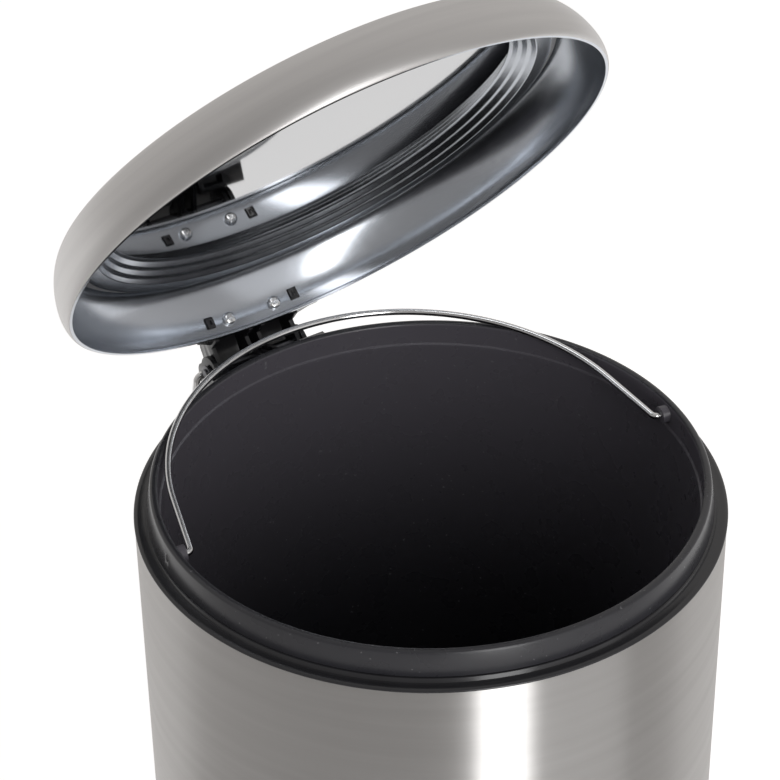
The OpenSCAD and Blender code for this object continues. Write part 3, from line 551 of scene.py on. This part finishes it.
def dressed(node, width=0.3, segments=2):
    """A merged copy of a plain solid, with its corners rounded."""
    obj = bpy.data.objects.new(node + "_dressed", nodes[node].data.copy())
    bpy.context.scene.collection.objects.link(obj)
    use(obj)
    bpy.ops.object.mode_set(mode="EDIT")
    bpy.ops.mesh.select_all(action="SELECT")
    bpy.ops.mesh.remove_doubles(threshold=0.002 * MM)
    bpy.ops.mesh.dissolve_limited(angle_limit=radians(0.5))
    bpy.ops.object.mode_set(mode="OBJECT")
    return soften(obj, width, segments)


def pan_screw(length):
    """A pan-head screw with a cross recess, its head upwards on the ground plane."""
    screw = turned("screw", [
        (0, -length), (1.6, -length), (2, -length + 0.5), (2, 0), (3.6, 0), (3.6, 0.8), (3.45, 1.2),
        (3.1, 1.62), (2.5, 1.98), (1.8, 2.23), (0.9, 2.35), (0, 2.38)], steps=48)
    recess = block("recess", (-2.1, -0.5, 0.9), (2.1, 0.5, 4))
    across = block("recess", (-0.5, -2.1, 0.9), (0.5, 2.1, 4))
    combine(screw, [recess, across], "DIFFERENCE")
    return soften(screw, 0.12)


plated = metal("plated_steel", (0.50, 0.50, 0.51), (0.60, 0.60, 0.60), 0.32, 0.06)
wire_steel = metal("bright_wire", (0.66, 0.66, 0.66), (0.76, 0.76, 0.76), 0.14, 0.04)
zinc = metal("zinc", (0.74, 0.75, 0.76), (0.86, 0.865, 0.87), 0.17, 0.05)
spring = metal("spring_steel", (0.10, 0.10, 0.11), (0.17, 0.17, 0.18), 0.35, 0.06)
AXLE = Vector((0, -30, 21)) * MM
finish(dressed("axle_bracket", 0.3), plated, "can", "axle_bracket")
axle_screws = join(copies(pan_screw(4.5), [
    Matrix.Translation(Vector((x, y, WEB_Z - 2.05)) * MM) @ turn("X", 180)
    for x, y in BRACKET_SCREWS]), "axle_screws")
finish(axle_screws, zinc, "can", "axle_screws")


def grooved_pin(name, radius, half):
    """A turned pin along X, with a groove for a clip near each end."""
    ends = [(0, half), (radius - 0.4, half), (radius, half - 0.4), (radius, half - 1.2),
            (radius - 0.5, half - 1.2), (radius - 0.5, half - 2.2), (radius, half - 2.2)]
    pin = turned(name, ends + [(r, -z) for r, z in reversed(ends)], steps=64)
    pin.data.transform(turn("Y", 90))
    bpy.context.view_layer.objects.active = pin
    bpy.ops.object.shade_smooth_by_angle(angle=radians(30))
    return pin


axle = grooved_pin("pedal_axle", 3.0, 17.2)
axle.data.transform(Matrix.Translation(AXLE))
finish(axle, wire_steel, "can", "pedal_axle")
finish(dressed("axle_clips", 0.12), spring, "can", "axle_clips")

# ---------------------------------------------------------------------------
# The pedal: a zinc-plated steel lever on the axle, with a black moulded pad
# riveted to its tip and a ribbed rubber tread let into the pad.
# ---------------------------------------------------------------------------
finish(dressed("pedal_lever", 0.35), plated, "pedal", "pedal_lever")
finish(dressed("pedal_pad", 0.8, 3), black_plastic, "pedal", "pedal_pad")
finish(dressed("pedal_tread", 0.3), rubber, "pedal", "pedal_tread")
finish(dressed("pedal_rivets", 0.4), zinc, "pedal", "pedal_rivets")

# ---------------------------------------------------------------------------
# The push rod inside the back wall: drawn steel wire with two flattened eyes,
# a headed pin through each eye, and a white guide on the base's web.
# ---------------------------------------------------------------------------
finish(dressed("push_rod", 0.2), wire_steel, "rod", "push_rod")
finish(dressed("rod_top_pin", 0.2), zinc, "rod", "rod_top_pin")
finish(dressed("rod_foot_pin", 0.2), zinc, "rod", "rod_foot_pin")
white_plastic = moulded("white_plastic", (0.62, 0.62, 0.60), (0.70, 0.70, 0.68), 0.40, 0.06, 0.2)
finish(dressed("rod_guide", 0.4), white_plastic, "can", "rod_guide")

# ---------------------------------------------------------------------------
# The hinge base: a black moulding screwed to the back of the steel body from
# inside. Its two cheeks hold the lid's pin and the carry handle.
# ---------------------------------------------------------------------------
finish(dressed("hinge_base", 0.4), black_plastic, "can", "hinge_base")
HEAD_Y = sqrt((BODY_R - SHEET) ** 2 - (SCREW_X + 3.6) ** 2)
hinge_screws = join(copies(pan_screw(BODY_R - SHEET - HEAD_Y + 5.5), [
    Matrix.Translation(Vector((x, HEAD_Y - 0.1, SCREW_Z)) * MM) @ turn("X", 90)
    for x in (-SCREW_X, SCREW_X)]), "hinge_screws")
finish(hinge_screws, zinc, "can", "hinge_screws")

# ---------------------------------------------------------------------------
# The carry handle: one length of bright steel wire, bent to a loop, with its
# ends sprung into the cheeks of the hinge base.
# ---------------------------------------------------------------------------


def bent_wire(name, path, radius):
    """A round wire along points in mm, with closed ends."""
    curve = bpy.data.curves.new(name, "CURVE")
    curve.dimensions = "3D"
    line = curve.splines.new("POLY")
    line.points.add(len(path) - 1)
    for point, place in zip(line.points, path):
        point.co = (*(Vector(place) * MM), 1)
    curve.bevel_depth = radius * MM
    curve.bevel_resolution = 8
    curve.use_fill_caps = True
    obj = bpy.data.objects.new(name, curve)
    bpy.context.scene.collection.objects.link(obj)
    use(obj)
    bpy.ops.object.convert(target="MESH")
    obj = bpy.context.object
    bpy.ops.object.mode_set(mode="EDIT")
    close_mesh()
    use(obj)
    bpy.ops.object.shade_smooth_by_angle(angle=radians(50))
    return obj


def arc(middle, radius, start, end, steps):
    """Points (u, v) on an arc, by angles in degrees."""
    return [(middle[0] + radius * cos(radians(start + (end - start) * i / steps)),
             middle[1] + radius * sin(radians(start + (end - start) * i / steps)))
            for i in range(steps + 1)]


HANDLE_AT = Vector((0, 172.5, 598)) * MM
half_loop = ([(26.1, 0)] + arc((29.5, -4), 4, 90, 0, 10) + [(38, -31)] + [(38, -57.5)]
             + arc((34, -58), 4, 0, -90, 10))
loop = [(x, 0, z) for x, z in half_loop] + [(-x, 0, z) for x, z in reversed(half_loop)]
carry = bent_wire("carry_handle", loop, 2.0)
carry.data.transform(Matrix.Translation(HANDLE_AT))
finish(carry, wire_steel, "handle", "carry_handle")

# ---------------------------------------------------------------------------
# The lift-out bucket: a charcoal moulding with a rolled rim, a flared skirt
# and two lugs inside the rim for the bail.
# ---------------------------------------------------------------------------
SKIRT_R = FLAT_IN - 1.3
RIM_R = SKIRT_R - 1.8
RIM_W = 4.2
RIM_IN = RIM_R - RIM_W
RIM_Z = CAN_H + 15.2
LIP_MID = RIM_R - RIM_W / 2
PIVOT_DROP = 6.5
PIVOT_Z = RIM_Z - PIVOT_DROP
BUCKET_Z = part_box("inner_bucket")[0].z / MM
BUCKET_T = 1.6
BUCKET_FOOT = RIM_IN - 12
STEP_Z = RIM_Z - 13
BUCKET_TURN = -8.5
bucket = turned("bucket", [(RIM_IN, RIM_Z - 1.6)] + [
    (LIP_MID + RIM_W / 2 * cos(radians(a)), RIM_Z - 1.6 + 1.6 * sin(radians(a)))
    for a in range(165, 10, -15)
] + [
    (RIM_R, RIM_Z - 1.6), (SKIRT_R, CAN_H + 2.5), (SKIRT_R - 1.4, CAN_H + 2.5),
    (RIM_R - 1.4, RIM_Z - 2.6), (RIM_IN + BUCKET_T, RIM_Z - 2.6), (RIM_IN + BUCKET_T, STEP_Z - 2),
    (BUCKET_FOOT + BUCKET_T, BUCKET_Z + 8), (BUCKET_FOOT + BUCKET_T - 2, BUCKET_Z + 2.5),
    (BUCKET_FOOT + BUCKET_T - 8, BUCKET_Z), (0, BUCKET_Z), (0, BUCKET_Z + BUCKET_T),
    (BUCKET_FOOT - 7.5, BUCKET_Z + BUCKET_T), (BUCKET_FOOT - 2.2, BUCKET_Z + 4),
    (BUCKET_FOOT, BUCKET_Z + 8.5), (RIM_IN - 1, STEP_Z - 2), (RIM_IN - 1, STEP_Z),
    (RIM_IN, STEP_Z + 0.6)])
lugs = [round_bar("lug", (s * (RIM_IN - 4.05), 0, PIVOT_Z), (s * (RIM_IN + 0.5), 0, PIVOT_Z), 4.6,
                  sides=48) for s in (-1, 1)]
combine(bucket, lugs, "UNION")
bores = [round_bar("bore", (s * (RIM_IN - 12), 0, PIVOT_Z), (s * (SKIRT_R + 5), 0, PIVOT_Z), 1.8)
         for s in (-1, 1)]
combine(bucket, bores, "DIFFERENCE")
bucket.data.transform(turn("Z", BUCKET_TURN))
soften(bucket, 0.3)
bucket_plastic = moulded("bucket_plastic", (0.019, 0.019, 0.023), (0.027, 0.027, 0.032),
                         0.28, 0.05, 0.3, 2500.0)
tree = bucket_plastic.node_tree
shader = tree.nodes["Principled BSDF"]
plain = shader.inputs["Base Color"].links[0].from_socket
# Painted light: the bucket's inner wall is coloured lighter near its top, as a painted sheen, and
# darker deeper down, as painted shade.
where = node_in(tree, "TexCoord").outputs["Object"]
parts = node_in(tree, "SeparateXYZ", [(0, where)])
height = parts.outputs["Z"]
flat = node_in(tree, "CombineXYZ", [("X", parts.outputs["X"]), ("Y", parts.outputs["Y"])])
radius = node_in(tree, "VectorMath", [(0, flat.outputs[0])], operation="LENGTH").outputs["Value"]
inside = node_in(tree, "MapRange", [("Value", radius), ("From Min", (RIM_IN + 0.5) * MM),
                                    ("From Max", (RIM_IN + 0.1) * MM)]).outputs["Result"]
with_depth = node_in(tree, "MapRange", [("Value", height), ("From Min", 0.42), ("From Max", 0.60)],
                     interpolation_type="SMOOTHSTEP").outputs["Result"]
painted_sheen_mask = node_in(tree, "Math", [(0, inside), (1, with_depth)], operation="MULTIPLY").outputs[0]
painted_sheen = node_in(tree, "Mix", [("Factor", painted_sheen_mask), ("A", plain), ("B", (0.092, 0.087, 0.102, 1))],
                 data_type="RGBA")
dots = node_in(tree, "TexNoise", [("Vector", where), ("Scale", 420.0), ("Detail", 1.0)])
speck = node_in(tree, "MapRange", [("Value", dots.outputs[0]), ("From Min", 0.74),
                                   ("From Max", 0.78), ("To Max", 0.5)]).outputs["Result"]
# Pale specks of dust go over the painted sheen.
sheen_and_dust = node_in(tree, "Mix",
                [("Factor", speck), ("A", painted_sheen.outputs["Result"]), ("B", (0.22, 0.22, 0.23, 1))],
                data_type="RGBA")
tree.links.new(sheen_and_dust.outputs["Result"], shader.inputs["Base Color"])
bucket.data.materials.clear()
bucket.data.materials.append(bucket_plastic)
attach(bucket, "bucket")
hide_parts("inner_bucket")

# ---------------------------------------------------------------------------
# The bail: one length of bright spring wire. Its bent ends go through the
# bucket's lugs, and it rests on the rim at the back.
# ---------------------------------------------------------------------------
BAIL_R = 1.75
BAIL_HALF = RIM_IN - 5.15 - BAIL_R
ARC_R = BAIL_HALF - 4.6
ARC_Y = RIM_R + 2.3 - ARC_R
ARC_START = degrees(atan2(-ARC_Y, BAIL_HALF) + acos(ARC_R / hypot(BAIL_HALF, ARC_Y)))
leg_end = arc((0, ARC_Y), ARC_R, ARC_START, ARC_START, 1)[0]
lean = atan2(BAIL_HALF - leg_end[0], leg_end[1])
bend = pi / 2 - lean
corner = 2.5 * tan(bend / 2)
half_bail = ([(SKIRT_R - 1, 0)] + arc((BAIL_HALF + corner, 2.5), 2.5, 270, 270 - degrees(bend), 12)
             + arc((0, ARC_Y), ARC_R, ARC_START, 90, 72))
path = [(x, y, 0) for x, y in half_bail] + [(-x, y, 0) for x, y in reversed(half_bail[:-1])]
bail = bent_wire("bail", path, BAIL_R)
CROSS = (LIP_MID ** 2 - ARC_R ** 2 - ARC_Y ** 2) / (2 * ARC_Y)
TILT = degrees(atan2(PIVOT_DROP + BAIL_R + 0.8, ARC_Y + CROSS))
bail.data.transform(turn("Z", BUCKET_TURN) @ Matrix.Translation(Vector((0, 0, PIVOT_Z)) * MM)
                    @ turn("X", TILT))
finish(bail, wire_steel, "bail", "bail_handle")

# ---------------------------------------------------------------------------
# The lid: one pressing of stainless sheet with a rolled hem, a full shoulder,
# a groove and three steps up to a flat panel. Brushed outside, polished inside.
# ---------------------------------------------------------------------------
LIP_R = BODY_R - 0.7
BELLY = 1.96
BELLY_Z = CAN_H + 8.6
SHOULDER_Z = CAN_H + 32.2
SHOULDER_W = 11.9
FULL = 1.233
LID_R = LIP_R + BELLY
SHOULDER_R = LID_R - SHOULDER_W
SLOPE_W = 9.5
GROOVE_DEPTH = 3.9
STEPS_H = 8.9
STEP_W = 3.5
GROOVE_R = SHOULDER_R - SLOPE_W
LID_OPEN = 53.2
HINGE = Vector((0, 166.4, 602.4)) * MM
LID_SCREW_X = 14
LID_SCREW_UP = 10.4
TAB_X = 26
TAB_UP = 11.2


def lid_side(t):
    low = [(LIP_R - t + BELLY * sin(radians(a)), BELLY_Z - 7.1 * cos(radians(a)))
           for a in range(0, 91, 10)]
    high = [(SHOULDER_R + (SHOULDER_W - t) * cos(radians(a)) ** FULL,
             BELLY_Z + (SHOULDER_Z - t - BELLY_Z) * sin(radians(a)) ** FULL)
            for a in range(5, 90, 5)]
    return low + high + [(SHOULDER_R, SHOULDER_Z - t)]


def lid_top(t):
    top, floor_z = SHOULDER_Z - t, SHOULDER_Z - GROOVE_DEPTH - t
    slope = [(SHOULDER_R - SLOPE_W * i / 8, top - GROOVE_DEPTH * (1 - cos(pi * i / 8)) / 2)
             for i in range(1, 9)]
    inner = GROOVE_R - 6
    rise = STEPS_H / 3
    treads = [(inner + 0.4, floor_z), (inner, floor_z)]
    for s in range(3):
        for along, up in ((0.12, 0.1), (0.45, 0.66), (0.6, 0.8), (0.75, 0.87), (0.9, 0.95),
                          (1.0, 1.0)):
            treads.append((inner - (s + along) * STEP_W, floor_z + (s + up) * rise))
    edge = inner - 3 * STEP_W
    return slope + treads + [(edge - 0.3, floor_z + STEPS_H), (60, floor_z + STEPS_H),
                            (0, floor_z + STEPS_H)]


outer = lid_side(0) + lid_top(0)
inner = [p for p in lid_side(SHEET) + lid_top(SHEET) if p[1] > CAN_H + 2.8]
hem = [(LIP_R - SHEET + 0.1, CAN_H + 2.7), (LIP_R - 1.4, CAN_H + 2.7), (LIP_R - 1.4, CAN_H + 1.5)]
lid = turned("lid", outer + inner[::-1] + hem)


def on_lid_wall(offset, height):
    """The place of a fixing on the closed lid's back wall: x across, y outwards, z up."""
    return (turn("Z", -asin(offset / LID_R) * 180 / pi)
            @ Matrix.Translation(Vector((0, LID_R, CAN_H + height)) * MM) @ turn("X", 4.9))


cuts = []
for s in (-1, 1):
    hole = round_bar("hole", (0, -6, 0), (0, 6, 0), 2.1)
    hole.data.transform(on_lid_wall(s * LID_SCREW_X, LID_SCREW_UP))
    slot = block("slot", (-2.7, -4, -3.2), (2.7, 4, 3.2))
    slot.data.transform(on_lid_wall(s * TAB_X, TAB_UP))
    cuts += [hole, slot]
combine(lid, cuts, "DIFFERENCE")
soften(lid, 0.12, segments=1, angle=40)
TO_OPEN = Matrix.Translation(HINGE) @ turn("X", -LID_OPEN) @ Matrix.Translation(-HINGE)


def back_to_closed(tree, where):
    """Coordinates of the open lid, as if it were closed."""
    back = TO_OPEN.inverted()
    made = node_in(tree, "Mapping", [("Vector", where), ("Location", back.translation),
                                     ("Rotation", (radians(LID_OPEN), 0, 0))])
    return made.outputs[0]


lid_outside = brushed_steel("lid_steel", (0.54, 0.53, 0.525), (0.63, 0.62, 0.61),
                            0.42, 0.04, 0.2, vector_of=back_to_closed)[0]


def polished(name, dark, light, smooth, dull, ripple_height):
    """Mirror-polished sheet with the slow ripple that pressing leaves in it."""
    made, tree, shader = material(name)
    where = node_in(tree, "TexCoord").outputs["Object"]
    ripple = node_in(tree, "TexNoise", [("Vector", where), ("Scale", 9.0), ("Detail", 1.0)])
    haze = node_in(tree, "TexNoise", [("Vector", where), ("Scale", 160.0), ("Detail", 4.0)])
    relief = node_in(tree, "Bump",
                     [("Height", ripple.outputs[0]), ("Strength", 0.15), ("Distance", ripple_height)])
    tree.links.new(relief.outputs[0], shader.inputs["Normal"])
    tree.links.new(tint(tree, ripple.outputs[0], dark, light), shader.inputs["Base Color"])
    tree.links.new(between(tree, haze.outputs[0], smooth, dull), shader.inputs["Roughness"])
    shader.inputs["Metallic"].default_value = 1.0
    return made


lid_wall = polished("polished_steel", (0.50, 0.53, 0.58), (0.56, 0.585, 0.62), 0.18, 0.26, 0.0004)
lid_panel = polished("mirror_panel", (0.47, 0.475, 0.485), (0.50, 0.505, 0.51), 0.025, 0.05, 0.0001)
lid.data.materials.clear()
lid.data.materials.append(lid_outside)
lid.data.materials.append(lid_wall)
lid.data.materials.append(lid_panel)
middle = Vector((0, 0, CAN_H - 30)) * MM
for face in lid.data.polygons:
    if face.normal.dot(face.center - middle) < 0:
        flat = face.normal.z < -0.999 and hypot(face.center.x, face.center.y) < (GROOVE_R - 16) * MM
        face.material_index = 2 if flat else 1
lid.data.transform(TO_OPEN)
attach(lid, "lid")
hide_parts("lid_shell")

# ---------------------------------------------------------------------------
# The lid bracket: a black moulding that clips into the lid with two tabs, is
# held by two screws from inside, and carries the fork that the rod lifts.
# ---------------------------------------------------------------------------
finish(dressed("lid_bracket", 0.25), black_plastic, "lid", "lid_bracket")
lid_screws = join(copies(pan_screw(8.0), [
    TO_OPEN @ on_lid_wall(s * LID_SCREW_X, LID_SCREW_UP)
    @ Matrix.Translation(Vector((0, -1.08, 0)) * MM) @ turn("X", 90) @ turn("Z", 20 + 25 * s)
    for s in (-1, 1)]), "lid_screws")
finish(lid_screws, zinc, "lid", "lid_screws")

# ---------------------------------------------------------------------------
# The lid's hinge pin: dark oiled steel, through the cheeks of the base and the
# bracket between them, with an open clip on each end.
# ---------------------------------------------------------------------------
pin = grooved_pin("hinge_pin", 2.5, 31.7)
pin.data.transform(Matrix.Translation(HINGE))
finish(pin, spring, "can", "hinge_pin")
finish(dressed("pin_clips", 0.12), spring, "can", "pin_clips")
